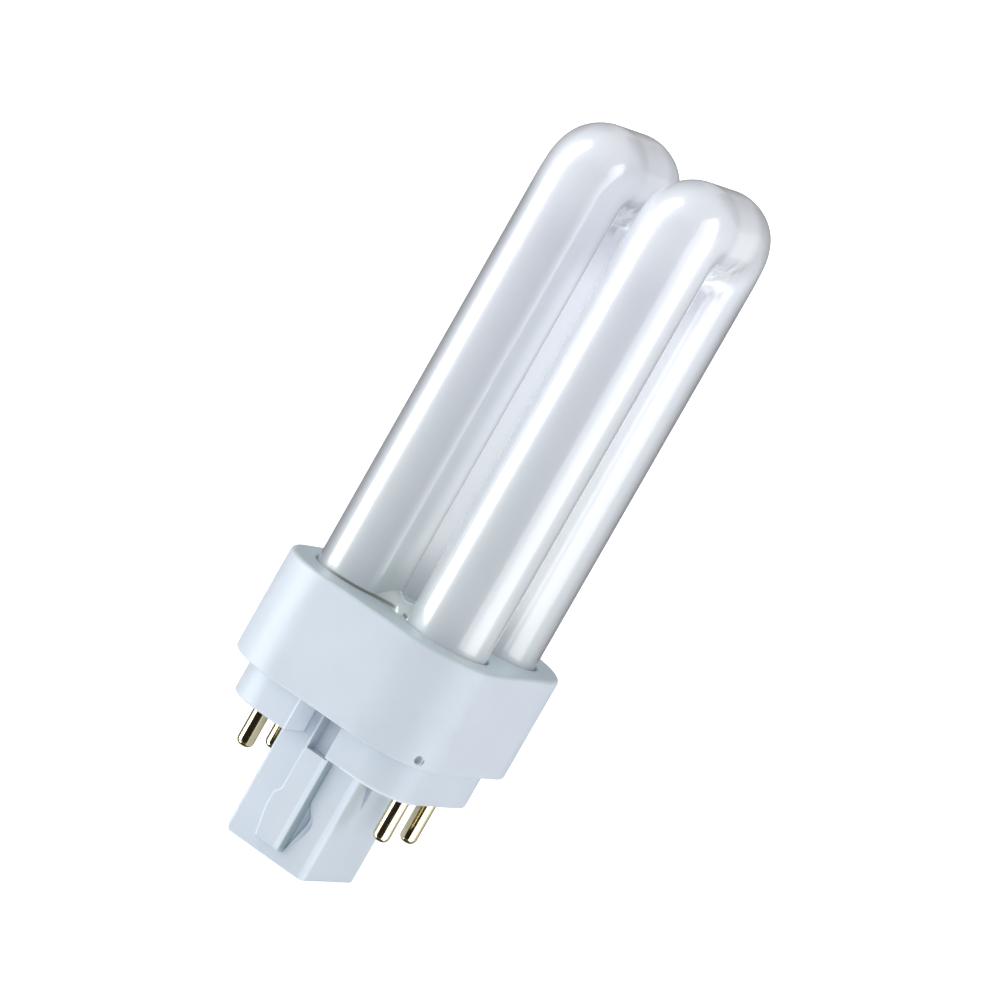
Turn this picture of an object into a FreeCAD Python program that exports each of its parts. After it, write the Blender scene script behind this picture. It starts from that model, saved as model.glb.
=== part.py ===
"""Plug-in compact fluorescent lamp: two U tubes on a two-part plastic cap with four pins.

Millimetres. +Z runs up the tubes, +X along the long row of the pins and -Y is the side with the
key rib. The origin is the centre of the centre post's end, the lowest point of the lamp.
"""

import math
import os

import FreeCAD
import Part

# glass
overall_height = 102.8
tube_radius = 5.75
tube_gap = 3.3
bend_centre_radius = 3.25
tube_depth_in_cap = 9.5
leg_end_chamfer = 1.2
pinch_width = 9.0
pinch_thickness = 3.0
pinch_length = 3.0
bridge_sink = 1.1
bridge_radius = 2.6
bridge_flare_radius = 3.6
bridge_flare_reach = 2.6
bridge_waist_half = 0.9

# collar, the upper part of the cap
collar_height = 14.7
collar_margin_x = 3.15
collar_margin_y = 5.05
collar_corner = 10.0
collar_wall = 2.4
collar_seat_wall = 1.6
deck_thickness = 2.0
rim_bevel = 0.5
tube_hole_clearance = 0.35
bridge_slot_clearance = 0.2
stake_radius = 0.55
stake_depth = 0.9
stake_rise = 1.1
stake_angle = 31.0

# cap base, the lower part
plug_height = 5.6
plug_inset_x = 1.8
plug_inset_y = 5.0
plug_corner = 6.4
plug_wall_x = 1.2
plug_wall_y = 1.8
floor_thickness = 1.8
flange_thickness = 1.6
flange_lip_x = 0.9
flange_lip_y = 0.4
window_half_width = 3.4
window_wall = 1.2

# centre post with its key
post_length = 16.2
post_half_x = 6.5
post_half_y = 7.4
post_wall = 1.6
post_front_wall = 5.1
post_foot_chamfer_x = 0.7
post_foot_chamfer_z = 1.2
key_centre_x = 0.3
key_half_width = 1.95
key_height = 1.9
key_bottom_z = 1.8
key_hole_drop = 1.0
key_hole_height = 4.8
key_hole_depth = 2.2
key_hole_inset_left = 0.5
key_hole_inset_right = 0.2
key_wedge = 0.75
key_wedge_top_z = 9.1
key_wedge_full_top_z = 8.1
key_wedge_full_bottom_z = 5.9
latch_depth = 2.4
latch_width = 1.75
latch_shoulder_width = 1.1
latch_top_z = 9.1
latch_upper_shoulder_z = 8.1
latch_wide_top_z = 6.9
latch_wide_bottom_z = 5.9
latch_lower_shoulder_z = 4.2
latch_bottom_z = 2.2
relief_y = -3.45
relief_width = 2.9
relief_depth = 0.8
relief_length = 5.4
relief_deep_length = 2.4

# contact pins
pin_edge_x = 3.0
pin_pitch_y = 8.0
pin_radius = 1.15
pin_root_radius = 1.3
pin_length = 6.8
pin_tip_round = 0.85
pin_head_radius = 1.6
pin_head_thickness = 0.8
pin_tail_radius = 0.8
pin_tail_length = 1.2

# inside the collar
cement_thickness = 6.0
lead_radius = 0.3
lead_bend = 1.2
lead_spread = 2.2

# places that follow from the sizes above
half_pitch = tube_radius + tube_gap / 2
bend_outer_corner = tube_radius + bend_centre_radius
plug_bottom_z = post_length
collar_bottom_z = plug_bottom_z + plug_height
collar_top_z = collar_bottom_z + collar_height
leg_end_z = collar_top_z - tube_depth_in_cap
pinch_end_z = leg_end_z - pinch_length
bridge_z = collar_top_z - bridge_sink
cement_top_z = collar_top_z - deck_thickness
cement_bottom_z = cement_top_z - cement_thickness
collar_half_x = half_pitch + tube_radius + collar_margin_x
collar_half_y = half_pitch + tube_radius + collar_margin_y
plug_half_x = collar_half_x - plug_inset_x
plug_half_y = collar_half_y - plug_inset_y
pin_x = plug_half_x - pin_edge_x
pin_y = pin_pitch_y / 2
key_hole_bottom_z = plug_bottom_z - key_hole_drop
stake_z = collar_bottom_z + stake_rise


def vec(x, y, z):
    return FreeCAD.Vector(x, y, z)


def box(x0, x1, y0, y1, z0, z1):
    return Part.makeBox(x1 - x0, y1 - y0, z1 - z0, vec(x0, y0, z0))


def rounded_prism(half_x, half_y, corner, z0, z1):
    """Upright prism with a rounded rectangle for its plan."""
    edges = []
    inner_x = half_x - corner
    inner_y = half_y - corner
    centres = [(inner_x, inner_y), (-inner_x, inner_y), (-inner_x, -inner_y), (inner_x, -inner_y)]
    for turn, (cx, cy) in enumerate(centres):
        points = []
        for step in (0, 45, 90):
            angle = math.radians(90 * turn + step)
            points.append(vec(cx + corner * math.cos(angle), cy + corner * math.sin(angle), z0))
        edges.append(Part.Arc(*points).toShape())
        nx, ny = centres[(turn + 1) % 4]
        angle = math.radians(90 * turn + 90)
        next_point = vec(nx + corner * math.cos(angle), ny + corner * math.sin(angle), z0)
        edges.append(Part.makeLine(points[2], next_point))
    return Part.Face(Part.Wire(edges)).extrude(vec(0, 0, z1 - z0))


def edges_at(shape, z, near=1e-4):
    """Edges that lie wholly in the plane at height z."""
    found = []
    for edge in shape.Edges:
        bounds = edge.BoundBox
        if abs(bounds.ZMin - z) < near and abs(bounds.ZMax - z) < near:
            found.append(edge)
    return found


def u_tube(x):
    """One U: two straight legs at y = -half_pitch and +half_pitch and a squarish bend at the top."""
    axis_y = half_pitch + tube_radius - bend_outer_corner
    axis_z = overall_height - bend_outer_corner
    solid = Part.makeCylinder(
        tube_radius, 2 * axis_y, vec(x, -axis_y, overall_height - tube_radius), vec(0, 1, 0)
    )
    for side in (-1, 1):
        leg = Part.makeCylinder(tube_radius, axis_z - leg_end_z, vec(x, side * half_pitch, leg_end_z))
        leg = leg.makeChamfer(leg_end_chamfer, edges_at(leg, leg_end_z))
        ring = Part.Wire([Part.makeCircle(tube_radius, vec(x, side * half_pitch, axis_z))])
        disc = Part.Face(ring)
        beyond = side * (half_pitch + tube_radius + 1)
        clip = box(
            x - tube_radius - 1,
            x + tube_radius + 1,
            min(side * axis_y, beyond),
            max(side * axis_y, beyond),
            axis_z - 1,
            axis_z + 1,
        )
        outer_part = disc.common(clip).Faces[0]
        corner = outer_part.revolve(vec(x, side * axis_y, axis_z), vec(side, 0, 0), 90)
        solid = solid.fuse(leg).fuse(corner)
    return solid.removeSplitter()


def glass_burner():
    """Two sealed U tubes, the bridge that joins their front legs and the rear legs' pinches."""
    solid = u_tube(-half_pitch).fuse(u_tube(half_pitch))
    bridge_half = half_pitch - 1.0
    outline = [
        vec(-bridge_half, 0, 0),
        vec(-bridge_half, 0, bridge_flare_radius),
        vec(-bridge_flare_reach, 0, bridge_flare_radius),
        vec(-bridge_waist_half, 0, bridge_radius),
        vec(bridge_waist_half, 0, bridge_radius),
        vec(bridge_flare_reach, 0, bridge_flare_radius),
        vec(bridge_half, 0, bridge_flare_radius),
        vec(bridge_half, 0, 0),
    ]
    bridge_face = Part.Face(Part.makePolygon(outline + outline[:1]))
    bridge = bridge_face.revolve(vec(0, 0, 0), vec(1, 0, 0), 360)
    bridge.translate(vec(0, -half_pitch, bridge_z))
    solid = solid.fuse(bridge)
    for side in (-1, 1):
        x = side * half_pitch
        pinch = box(
            x - pinch_width / 2,
            x + pinch_width / 2,
            half_pitch - pinch_thickness / 2,
            half_pitch + pinch_thickness / 2,
            pinch_end_z,
            leg_end_z + leg_end_chamfer + 1.0,
        )
        solid = solid.fuse(pinch)
    return solid.removeSplitter()


def collar():
    """Upper part of the cap: a rounded cup with its deck on top, open below."""
    outer = rounded_prism(collar_half_x, collar_half_y, collar_corner, collar_bottom_z, collar_top_z)
    outer = outer.makeChamfer(rim_bevel, edges_at(outer, collar_top_z))
    cavity = rounded_prism(
        collar_half_x - collar_wall,
        collar_half_y - collar_wall,
        collar_corner - collar_wall,
        collar_bottom_z,
        cement_top_z,
    )
    seat = rounded_prism(
        collar_half_x - collar_seat_wall,
        collar_half_y - collar_seat_wall,
        collar_corner - collar_seat_wall,
        collar_bottom_z,
        collar_bottom_z + flange_thickness,
    )
    solid = outer.cut(cavity).cut(seat)
    for sx in (-1, 1):
        for sy in (-1, 1):
            base = vec(sx * half_pitch, sy * half_pitch, cement_top_z - 1)
            hole = Part.makeCylinder(tube_radius + tube_hole_clearance, deck_thickness + 2, base)
            solid = solid.cut(hole)
    slot_half_y = bridge_flare_radius + bridge_slot_clearance
    slot = box(
        -half_pitch + tube_radius * 0.6,
        half_pitch - tube_radius * 0.6,
        -half_pitch - slot_half_y,
        -half_pitch + slot_half_y,
        cement_top_z - 1,
        collar_top_z + 1,
    )
    solid = solid.cut(slot)
    corner_x = collar_half_x - collar_corner
    corner_y = collar_half_y - collar_corner
    for sx in (-1, 1):
        for sy in (-1, 1):
            angle = math.radians(stake_angle)
            out = vec(sx * math.cos(angle), sy * math.sin(angle), 0)
            start = vec(sx * corner_x, sy * corner_y, stake_z) + out * (collar_corner - stake_depth)
            solid = solid.cut(Part.makeCylinder(stake_radius, stake_depth + 1, start, out))
    return solid.removeSplitter()


def basing_cement(burner):
    """Cement that fills the collar under its deck and holds the glass."""
    block = rounded_prism(
        collar_half_x - collar_wall,
        collar_half_y - collar_wall,
        collar_corner - collar_wall,
        cement_bottom_z,
        cement_top_z,
    )
    return block.cut(burner).removeSplitter()


def latch_pocket(x):
    """Scoop beside the key: deep next to it, rising to a leaf-shaped outline in the post's face."""
    front = -post_half_y
    outline = [
        vec(x, front, latch_top_z),
        vec(x + latch_shoulder_width, front, latch_upper_shoulder_z),
        vec(x + latch_width, front, latch_wide_top_z),
        vec(x + latch_width, front, latch_wide_bottom_z),
        vec(x + latch_shoulder_width, front, latch_lower_shoulder_z),
        vec(x, front, latch_bottom_z),
    ]
    deep_top = vec(x, front + latch_depth, latch_wide_top_z)
    deep_bottom = vec(x, front + latch_depth, latch_wide_bottom_z)
    rings = [
        outline,
        [outline[0], deep_top, deep_bottom, outline[5]],
        [outline[0], outline[1], deep_top],
        [outline[1], outline[2], deep_top],
        [outline[2], outline[3], deep_bottom, deep_top],
        [outline[3], outline[4], deep_bottom],
        [outline[4], outline[5], deep_bottom],
    ]
    faces = []
    for ring in rings:
        faces.append(Part.Face(Part.makePolygon(ring + ring[:1])))
    pocket = Part.Solid(Part.Shell(faces))
    if pocket.Volume < 0:
        pocket.reverse()
    return pocket


def cap_base():
    """Lower part of the cap: plug, flange, centre post, key rib and latch pocket."""
    floor_top = plug_bottom_z + floor_thickness
    flange_top = collar_bottom_z + flange_thickness
    plug = rounded_prism(plug_half_x, plug_half_y, plug_corner, plug_bottom_z, collar_bottom_z)
    flange = rounded_prism(
        collar_half_x - collar_seat_wall,
        collar_half_y - collar_seat_wall,
        collar_corner - collar_seat_wall,
        collar_bottom_z,
        flange_top,
    )
    solid = plug.fuse(flange)
    room = rounded_prism(
        plug_half_x - plug_wall_x,
        plug_half_y - plug_wall_y,
        plug_corner - plug_wall_x,
        floor_top,
        collar_bottom_z,
    )
    opening = rounded_prism(
        plug_half_x - plug_wall_x - flange_lip_x,
        plug_half_y - plug_wall_y - flange_lip_y,
        plug_corner - plug_wall_x,
        collar_bottom_z,
        flange_top,
    )
    solid = solid.cut(room)
    solid = solid.fuse(
        box(
            -window_half_width - window_wall,
            window_half_width + window_wall,
            -plug_half_y + plug_wall_y / 2,
            -post_half_y,
            floor_top,
            collar_bottom_z,
        )
    )
    solid = solid.cut(opening)
    solid = solid.cut(
        box(
            -window_half_width,
            window_half_width,
            -plug_half_y - 1,
            -post_half_y,
            plug_bottom_z - 1,
            collar_bottom_z,
        )
    )
    post = box(-post_half_x, post_half_x, -post_half_y, post_half_y, 0, collar_bottom_z)
    chamfer_points = [
        vec(-post_half_x, -post_half_y - 1, 0),
        vec(-post_half_x + post_foot_chamfer_x, -post_half_y - 1, 0),
        vec(-post_half_x, -post_half_y - 1, post_foot_chamfer_z),
    ]
    chamfer_face = Part.Face(Part.makePolygon(chamfer_points + chamfer_points[:1]))
    post = post.cut(chamfer_face.extrude(vec(0, 2 * post_half_y + 2, 0)))
    solid = solid.fuse(post)

    key_left = key_centre_x - key_half_width
    key_right = key_centre_x + key_half_width
    key_face_y = -post_half_y - key_height
    key_points = [
        vec(key_left, key_face_y, collar_bottom_z),
        vec(key_left, key_face_y, key_wedge_top_z),
        vec(key_left - key_wedge, key_face_y, key_wedge_full_top_z),
        vec(key_left - key_wedge, key_face_y, key_wedge_full_bottom_z),
        vec(key_left, key_face_y, key_bottom_z),
        vec(key_right, key_face_y, key_bottom_z),
        vec(key_right, key_face_y, collar_bottom_z),
    ]
    key = Part.Face(Part.makePolygon(key_points + key_points[:1]))
    solid = solid.fuse(key.extrude(vec(0, key_height, 0)))

    solid = solid.cut(
        box(
            -post_half_x + post_wall,
            post_half_x - post_wall,
            -post_half_y + post_front_wall,
            post_half_y - post_wall,
            post_wall,
            collar_bottom_z,
        )
    )
    solid = solid.cut(
        box(
            key_left + key_hole_inset_left,
            key_right - key_hole_inset_right,
            key_face_y - 1,
            key_face_y + key_hole_depth,
            key_hole_bottom_z,
            key_hole_bottom_z + key_hole_height,
        )
    )
    solid = solid.cut(latch_pocket(key_right))
    relief_points = [
        vec(post_half_x, relief_y - relief_width / 2, plug_bottom_z - relief_length),
        vec(post_half_x, relief_y - relief_width / 2, plug_bottom_z),
        vec(post_half_x - relief_depth, relief_y - relief_width / 2, plug_bottom_z),
        vec(post_half_x - relief_depth, relief_y - relief_width / 2, plug_bottom_z - relief_deep_length),
    ]
    relief = Part.Face(Part.makePolygon(relief_points + relief_points[:1]))
    solid = solid.cut(relief.extrude(vec(0, relief_width, 0)))
    for sx in (-1, 1):
        for sy in (-1, 1):
            base = vec(sx * pin_x, sy * pin_y, plug_bottom_z - 1)
            solid = solid.cut(Part.makeCylinder(pin_root_radius, floor_thickness + 2, base))
    return solid.removeSplitter()


def contact_pin(x, y):
    """Round-tipped pin with a wider root in the cap's floor and a head that sits on it."""
    tip_z = plug_bottom_z - pin_length
    floor_top = plug_bottom_z + floor_thickness
    body = Part.makeCylinder(pin_radius, pin_length, vec(x, y, tip_z))
    body = body.makeFillet(pin_tip_round, edges_at(body, tip_z))
    root = Part.makeCylinder(pin_root_radius, floor_thickness, vec(x, y, plug_bottom_z))
    head = Part.makeCylinder(pin_head_radius, pin_head_thickness, vec(x, y, floor_top))
    tail_z = floor_top + pin_head_thickness
    tail = Part.makeCylinder(pin_tail_radius, pin_tail_length, vec(x, y, tail_z))
    return body.fuse(root).fuse(head).fuse(tail).removeSplitter()


def lead_wire(start, end):
    """Thin wire: down from the glass, level across to the pin and down to the pin's tail."""
    down = vec(0, 0, -1)
    across = vec(end.x - start.x, end.y - start.y, 0)
    across.normalize()
    half_turn = math.sqrt(0.5)
    turn_one = start + (down + across) * lead_bend
    arc_one_middle = start + across * lead_bend - across * lead_bend * half_turn + down * lead_bend * half_turn
    level_z = turn_one.z
    turn_two = vec(end.x, end.y, level_z) - across * lead_bend
    turn_two_end = vec(end.x, end.y, level_z - lead_bend)
    arc_two_middle = turn_two + down * lead_bend * (1 - half_turn) + across * lead_bend * half_turn
    spine = Part.Wire(
        [
            Part.Arc(start, arc_one_middle, turn_one).toShape(),
            Part.makeLine(turn_one, turn_two),
            Part.Arc(turn_two, arc_two_middle, turn_two_end).toShape(),
            Part.makeLine(turn_two_end, end),
        ]
    )
    ring = Part.Wire([Part.makeCircle(lead_radius, start, vec(0, 0, 1))])
    return spine.makePipeShell([ring], True, True)


def main():
    os.makedirs("parts", exist_ok=True)
    burner = glass_burner()
    parts = {
        "glass_burner": burner,
        "collar": collar(),
        "basing_cement": basing_cement(burner),
        "cap_base": cap_base(),
    }
    tail_top = plug_bottom_z + floor_thickness + pin_head_thickness + pin_tail_length
    places = (("left", -1), ("right", 1))
    rows = (("front", -1), ("rear", 1))
    for side_name, sx in places:
        for row_name, sy in rows:
            x = sx * pin_x
            y = sy * pin_y
            parts[f"pin_{side_name}_{row_name}"] = contact_pin(x, y)
            start_x = sx * (half_pitch + lead_spread * (1 if row_name == "rear" else -1))
            start = vec(start_x, half_pitch, pinch_end_z)
            end = vec(x, y, tail_top)
            parts[f"lead_{side_name}_{row_name}"] = lead_wire(start, end)
    for name, shape in parts.items():
        solid = shape.Solids[0] if len(shape.Solids) == 1 else shape
        print(name, len(shape.Solids), shape.isValid(), round(shape.Volume, 1))
        solid.exportStep(f"parts/{name}.step")


main()
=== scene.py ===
"""Looks of a plug-in compact fluorescent lamp, built round its CAD frame.

Two U-shaped coated glass tubes stand in a pale plastic cap. The cap has a collar, an inset base,
a centre post with a key rib and a latch pocket, and four brass pins. Lengths are in metres.
"""

import math

import bmesh
import bpy
from bpy.props import FloatProperty, FloatVectorProperty, IntProperty, PointerProperty
from mathutils import Matrix, Vector, noise


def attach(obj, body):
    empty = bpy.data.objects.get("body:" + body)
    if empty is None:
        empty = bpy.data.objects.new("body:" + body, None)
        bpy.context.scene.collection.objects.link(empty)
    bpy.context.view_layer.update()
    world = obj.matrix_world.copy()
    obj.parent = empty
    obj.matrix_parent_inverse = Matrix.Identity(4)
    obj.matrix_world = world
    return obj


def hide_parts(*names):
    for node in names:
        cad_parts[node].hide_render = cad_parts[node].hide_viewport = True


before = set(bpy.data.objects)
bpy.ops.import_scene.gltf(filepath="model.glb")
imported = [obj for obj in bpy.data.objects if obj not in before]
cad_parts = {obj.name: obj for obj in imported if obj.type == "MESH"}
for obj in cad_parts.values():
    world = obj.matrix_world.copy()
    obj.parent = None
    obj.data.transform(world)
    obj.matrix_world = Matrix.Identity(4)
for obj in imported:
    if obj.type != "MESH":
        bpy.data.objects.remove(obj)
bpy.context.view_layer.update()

bl_info = {
    "name": "Plug-in Lamp Looks",
    "version": (1, 0, 0),
    "blender": (4, 5, 0),
    "location": "View3D > Sidebar > Lamp",
    "description": "Builds the glass, cap, pins and studio of a plug-in compact fluorescent lamp",
    "category": "Object",
}

SIDES = (("left", -1), ("right", 1))
ROWS = (("front", -1), ("rear", 1))
CORNERS = ((-1, -1), (1, -1), (1, 1), (-1, 1))

WHITE = (1.0, 1.0, 1.0, 1.0)
NEAR = 1e-6
PAST = 0.001  # how far a cutting tool reaches past the surface that it opens

LIGHT_AIM = Vector((0.0, 0.0, 0.055))
CAMERA_AIM = Vector((0.0012026, -0.0004610, 0.0539097))

# Soft limits of places on the glass and the plastic: axis, low, high, and 1 above them or -1 below them
BRIDGE = (("X", -0.0036, -0.0028, 1), ("X", 0.0028, 0.0036, -1), ("Z", 0.0395, 0.0425, -1))
UNDER_BENDS = (
    ("Y", -0.0046, -0.0030, 1),
    ("Y", 0.0030, 0.0046, -1),
    ("Z", 0.0893, 0.0905, 1),
    ("Z", 0.0940, 0.0960, -1),
)
LEFT_SIDE = (("X", -0.0104, -0.0094, -1),)
RIGHT_REAR = (("X", 0.0094, 0.0104, 1), ("Y", 0.0010, 0.0040, 1))
FOOT_LINE = (("Z", 0.0363, 0.0365, 1), ("Z", 0.03665, 0.0369, -1), ("Y", -0.0032, -0.0028, -1))
LEFT_SEAM = FOOT_LINE + (("X", -0.0115, -0.0060, 1), ("X", -0.0006, 0.0004, -1))
RIGHT_SEAM = FOOT_LINE + (("X", 0.0014, 0.0018, 1), ("X", 0.0025, 0.0031, -1))
BESIDE_KEY = (
    ("X", 0.00219, 0.00224, 1),
    ("X", 0.00228, 0.00236, -1),
    ("Y", -0.0095, -0.0091, 1),
    ("Y", -0.0072, -0.0068, -1),
    ("Z", 0.0014, 0.0026, 1),
    ("Z", 0.0162, 0.0163, -1),
)
NOTCH_WALL = (
    ("X", -0.0037, -0.0035, 1),
    ("X", -0.0033, -0.0031, -1),
    ("Y", -0.0078, -0.0074, -1),
    ("Z", 0.0162, 0.0164, 1),
    ("Z", 0.0214, 0.0219, -1),
)
POST_EDGE = (("X", 0.0055, 0.0062, 1), ("Y", -0.0068, -0.0062, -1), ("Z", 0.0162, 0.0168, -1))
LATCH_POCKET = (
    ("X", 0.00228, 0.00240, 1),
    ("X", 0.0029, 0.0037, -1),
    ("Y", -0.00735, -0.00725, 1),
    ("Y", -0.0048, -0.0044, -1),
    ("Z", 0.0018, 0.0022, 1),
    ("Z", 0.0092, 0.0098, -1),
)
KEY_EDGE = (
    ("X", 0.0013, 0.0019, 1),
    ("X", 0.00236, 0.0024, -1),
    ("Y", -0.0092, -0.0090, -1),
    ("Z", 0.0018, 0.0022, 1),
    ("Z", 0.0150, 0.0153, -1),
)
# Places of the plastic with a painted glow, each with its strength: the notch wall and the latch pocket lifted out of
# their shade, and painted highlights on the post's edge and the key's edge
PAINTED_GLOW_PLACES = ((NOTCH_WALL, 0.24), (POST_EDGE, 0.16), (LATCH_POCKET, 0.22), (KEY_EDGE, 0.14))

# Painted shade on the glass where it faces the view
PAINTED_FACE_SHADE = (0.875, 0.88, 0.90)
# Painted greenish shade on the bridge between the front legs
PAINTED_BRIDGE_SHADE = (0.84, 0.89, 0.87)
# Painted shade of the pressed creases under the bends
PAINTED_CREASE_SHADE = (0.60, 0.62, 0.65)
# Colour of the painted glow on the glass
GLASS_GLOW = (0.93, 0.915, 0.90, 1.0)
# Colour of the painted glow on the plastic
PLASTIC_GLOW = (0.86, 0.92, 1.0, 1.0)
# Painted shade on the key rib's right side
PAINTED_KEY_SHADE = (0.56, 0.64, 0.62)
# Painted shade on the collar's deck
PAINTED_DECK_SHADE = (0.83, 0.875, 0.845)

SURROUND_COLOUR = (0.985, 0.99, 1.0, 1.0)
OVERHEAD = 0.58  # share of the surround's strength that comes from above
FLOOR_GLOW = (0.32, 0.52)  # its strength as a light, and for the rays that see the floor
DOME_RADIUS = 2.2
DOME_START, DOME_FADE = 0.28, 0.3  # heights at which a dome and its fade start, as shares of its radius

# Soft lights and cards: name, azimuth and elevation in degrees, distance, width, height, brightness
LIGHTS = (
    ("front_left_light", -18, 5, 0.9, 0.7, 0.5, 1.4),
    ("right_soft_light", 112, 5, 0.9, 0.7, 0.6, 1.7),
)
# A card's last number is the share of its width over which each side fades
CARDS = (
    ("right_thin", 59.0, 0, 0.052, 0.013, 0.19, 3.0, 0.35),
    ("front_card", 12, 0, 1.5, 3.2, 3.6, 0.02, 0.10),
    ("left_side_card", -99, 0, 0.9, 0.62, 2.4, 0.22, 0.15),
    ("right_side_card", 148, 0, 0.9, 0.60, 2.4, 0.60, 0.15),
    ("left_rear_card", 176.5, 0, 0.88, 0.62, 2.4, 0.10, 0.10),
    ("right_rear_card", 231, 0, 0.88, 0.62, 2.4, 0.10, 0.10),
    ("low_rear_card", 203.6, 10, 0.9, 0.36, 0.28, 0.12, 0.10),
)


def length(name, description, default):
    """A length in metres, shown in the scene's own unit."""
    return FloatProperty(
        name=name, description=description, default=default, min=0.0, precision=5, unit="LENGTH"
    )


def colour(name, description, default):
    return FloatVectorProperty(
        name=name, description=description, default=default, size=3, min=0.0, max=1.0, subtype="COLOR"
    )


class TubeSettings(bpy.types.PropertyGroup):
    """Sizes and colours of the coated glass."""

    height: length("Height", "Top of the tubes above the post's end", 0.1028)
    radius: length("Tube radius", "Outside radius of a leg", 0.00575)
    gap: length("Tube gap", "Gap between neighbouring legs", 0.0033)
    bend_radius: length("Bend radius", "Radius of the bend along the tube's centre line", 0.00325)
    foot: length("Foot height", "Lower end of the legs, inside the cap", 0.027)
    bend_start: length("Bend start", "Height at which the legs begin to turn", 0.086)
    bridge_height: length("Bridge height", "Height of the bridge between the front legs", 0.0354)
    bridge_waist: length("Bridge waist", "Radius of the bridge at its middle", 0.0023)
    bridge_flare: length("Bridge flare", "Radius of the bridge where it meets the legs", 0.0038)
    crease: length("Crease depth", "Depth of the pressed creases under the bends", 0.00056)
    around: IntProperty(name="Segments", description="Faces round a leg", default=72, min=24)
    glass: colour("Glass", "White coating seen through the glass", (0.69, 0.725, 0.795))
    foot_tint: colour("Foot tint", "Coating near the cap", (0.54, 0.60, 0.62))
    # Painted dark rim of the glass, where its clear wall is seen edge-on and mirrors dark surroundings
    rim_shade: colour("Rim tint", "Edge of the glass seen along its wall", (0.31, 0.33, 0.37))
    seam: colour("Seam", "Shadowed line where the glass meets the deck", (0.10, 0.115, 0.11))
    # Painted glow between the legs, standing for light that comes through the coating
    through_inner: FloatProperty(
        name="Inner glow", description="Light that comes through the coating between the legs", default=0.32
    )
    # Painted glow over the outer sides, standing for light that comes through the coating, more towards the bends' tops
    through_outer: FloatProperty(
        name="Outer glow", description="Light that comes through the coating on the outer sides", default=0.07
    )


class CapSettings(bpy.types.PropertyGroup):
    """Sizes and colours of the plastic cap."""

    collar_x: length("Collar half width", "Half of the collar along X", 0.0163)
    collar_y: length("Collar half depth", "Half of the collar along Y", 0.0182)
    collar_corner: length("Collar corner", "Corner radius of the collar's plan", 0.010)
    collar_bottom: length("Collar bottom", "Height of the collar's lower edge", 0.0218)
    collar_top: length("Collar top", "Height of the collar's deck", 0.0365)
    collar_wall: length("Collar wall", "Wall of the collar", 0.0024)
    seat_wall: length("Seat wall", "Wall of the collar round the base's flange", 0.0016)
    deck: length("Deck", "Thickness of the collar's deck", 0.002)
    rim_round: length("Rim rounding", "Rounding of the collar's rim", 0.0006)
    plug_x: length("Base half width", "Half of the base along X", 0.0145)
    plug_y: length("Base half depth", "Half of the base along Y", 0.0132)
    plug_corner: length("Base corner", "Corner radius of the base's plan", 0.0064)
    plug_bottom: length("Base bottom", "Height of the base's pin face", 0.0162)
    post_x: length("Post half width", "Half of the centre post along X", 0.0065)
    post_y: length("Post half depth", "Half of the centre post along Y", 0.0074)
    post_corner: length("Post corner", "Rounding of the centre post's upright edges", 0.0005)
    edge_round: length("Edge rounding", "Rounding of the collar's moulded edges", 0.00022)
    base_round: length("Base edge rounding", "Rounding of the base's moulded edges", 0.0002)
    plastic: colour("Plastic", "Pale bluish plastic", (0.620, 0.684, 0.756))
    cement: colour("Cement", "Basing cement under the deck", (0.52, 0.51, 0.47))


class PinSettings(bpy.types.PropertyGroup):
    """Sizes and colours of the contact pins."""

    pitch_x: length("Pitch along X", "Distance between the pins along X", 0.023)
    pitch_y: length("Pitch along Y", "Distance between the pins along Y", 0.008)
    radius: length("Pin radius", "Radius of a pin", 0.00115)
    length: length("Pin length", "Length of a pin below the base", 0.0068)
    tip_round: length("Tip rounding", "Rounding of the pin's end", 0.00085)
    brass: colour("Brass", "Polished brass", (0.80, 0.69, 0.43))
    tin: colour("Tin", "Tinned lead wire", (0.62, 0.62, 0.62))


class StudioSettings(bpy.types.PropertyGroup):
    """Camera and light."""

    azimuth: FloatProperty(
        name="Azimuth",
        description="Turn of the camera from the -Y side towards +X",
        default=math.radians(23.646),
        subtype="ANGLE",
    )
    elevation: FloatProperty(
        name="Elevation",
        description="Height of the camera over the level",
        default=math.radians(8.6995),
        subtype="ANGLE",
    )
    roll: FloatProperty(
        name="Roll", description="Turn of the camera about its view", default=math.radians(29.741), subtype="ANGLE"
    )
    distance: length("Distance", "Distance of the camera from the point it looks at", 0.72075)
    lens: FloatProperty(name="Lens", description="Focal length in millimetres", default=204.5)
    surround: FloatProperty(name="Surround", description="Strength of the light from all sides", default=1.26)
    left_soft: FloatProperty(name="Left light", description="Strength of the soft light on the left", default=0.25)
    left_strip: FloatProperty(name="Left strip", description="Strength of the strip seen in the gloss", default=9.0)
    right_soft: FloatProperty(name="Right light", description="Strength of the light on the right", default=4.8)
    floor: colour("Floor", "Plain pale floor", (0.88, 0.88, 0.88))


# mesh helpers


def once(things):
    """Each thing once, in the order in which it first comes."""
    return list(dict.fromkeys(things))


def edges_at(verts):
    return once(e for v in verts for e in v.link_edges)


def grown_parts(grown):
    """The vertices of an extrusion, and the edges between them."""
    verts = [g for g in grown if isinstance(g, bmesh.types.BMVert)]
    found = set(verts)
    return verts, [g for g in grown if isinstance(g, bmesh.types.BMEdge) and all(v in found for v in g.verts)]


def add_block(bm, x0, x1, y0, y1, z0, z1):
    """A box, and the vertices it is made of."""
    verts = bmesh.ops.create_cube(bm, size=1.0)["verts"]
    bmesh.ops.scale(bm, vec=(x1 - x0, y1 - y0, z1 - z0), verts=verts)
    bmesh.ops.translate(bm, vec=((x0 + x1) / 2, (y0 + y1) / 2, (z0 + z1) / 2), verts=verts)
    return verts


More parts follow.
